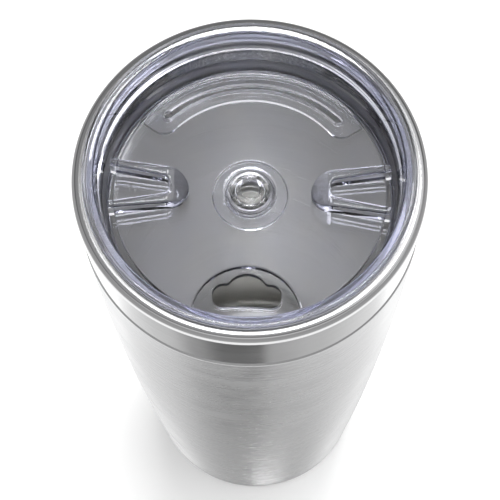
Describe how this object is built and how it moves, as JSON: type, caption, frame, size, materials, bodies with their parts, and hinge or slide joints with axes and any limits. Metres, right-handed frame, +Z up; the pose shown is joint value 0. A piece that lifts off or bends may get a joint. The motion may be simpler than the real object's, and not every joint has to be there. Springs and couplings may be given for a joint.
{
  "type": "insulated tumbler",
  "caption": "Tapered double-wall steel tumbler with a clear push-in lid whose notched swivel disc opens and closes the drinking hole.",
  "frame": {"origin": "centre of the ring that the cup stands on, at table level", "axes": "+Z up along the cup's axis, -Y towards the drinking side, +X to the right when looking along +Y"},
  "size_m": [0.102, 0.102, 0.1984],
  "materials": {
    "brushed_steel": "brushed round the body, polished band at the lip",
    "polished_steel": "polished at the lip, satin inside",
    "plain_steel": "satin sheet",
    "copper_foil": "bright foil",
    "braze": "dull fused metal",
    "sintered_getter": "matt sintered tablet",
    "clear_plastic": "clear gloss, faint blue-violet tint",
    "clear_silicone": "clear, slightly milky"
  },
  "bodies": {
    "cup": {"outer_shell": "brushed_steel", "inner_liner": "polished_steel", "radiation_foil": "copper_foil", "outer_base": "plain_steel", "sealing_pellet": "braze", "getter": "sintered_getter", "getter_clip": "plain_steel", "base_cover": "plain_steel"},
    "lid": {"lid_body": "clear_plastic", "lid_gasket": "clear_silicone"},
    "disc": {"swivel_disc": "clear_plastic", "pivot_ring": "clear_silicone", "pivot_pin": "clear_plastic"}
  },
  "joints": [
    {"name": "lid_lift", "type": "slide", "parent": "cup", "child": "lid", "axis": [0, 0, 1], "range_m": [0, 0.06]},
    {"name": "disc_swivel", "type": "hinge", "parent": "lid", "child": "disc", "pos_m": [0, 0, 0.18], "axis": [0, 0, 1], "range_deg": [0, 90]}
  ]
}
